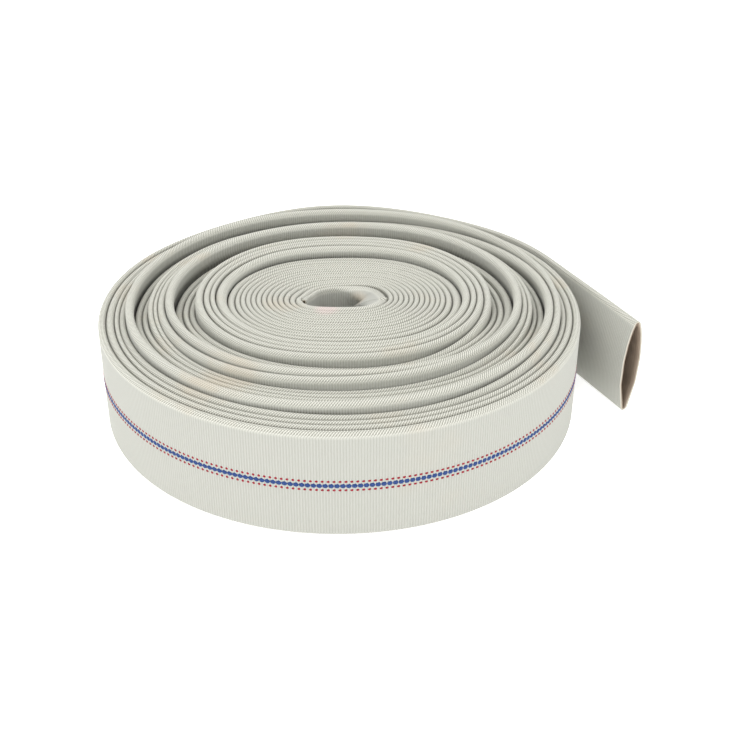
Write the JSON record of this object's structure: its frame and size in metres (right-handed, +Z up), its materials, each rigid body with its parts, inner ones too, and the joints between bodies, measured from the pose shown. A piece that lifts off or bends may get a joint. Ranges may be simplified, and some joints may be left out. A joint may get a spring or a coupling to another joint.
{
  "type": "rolled fire hose",
  "caption": "Lay-flat woven fire hose rolled up in one flat spiral, with a coloured marker line and its outer end left open.",
  "frame": {"origin": "middle of the bounding box in plan, on the floor that the roll stands on", "axes": "+Z up along the axis of the roll; -Y towards the side where the outermost turn shows its marker line; +X towards the free end"},
  "size_m": [0.4202, 0.378, 0.0837],
  "materials": {
    "jacket_weave": "circular-woven polyester yarn, undyed off-white, matt",
    "lining_rubber": "smooth taupe rubber, dull",
    "blue_yarn": "dyed polyester yarn, matt",
    "red_yarn": "dyed polyester yarn, matt"
  },
  "bodies": {
    "root": {"woven_jacket": "jacket_weave", "rubber_lining": "lining_rubber", "blue_marker_yarn": "blue_yarn", "red_marker_yarn_upper": "red_yarn", "red_marker_yarn_lower": "red_yarn"}
  },
  "joints": []
}
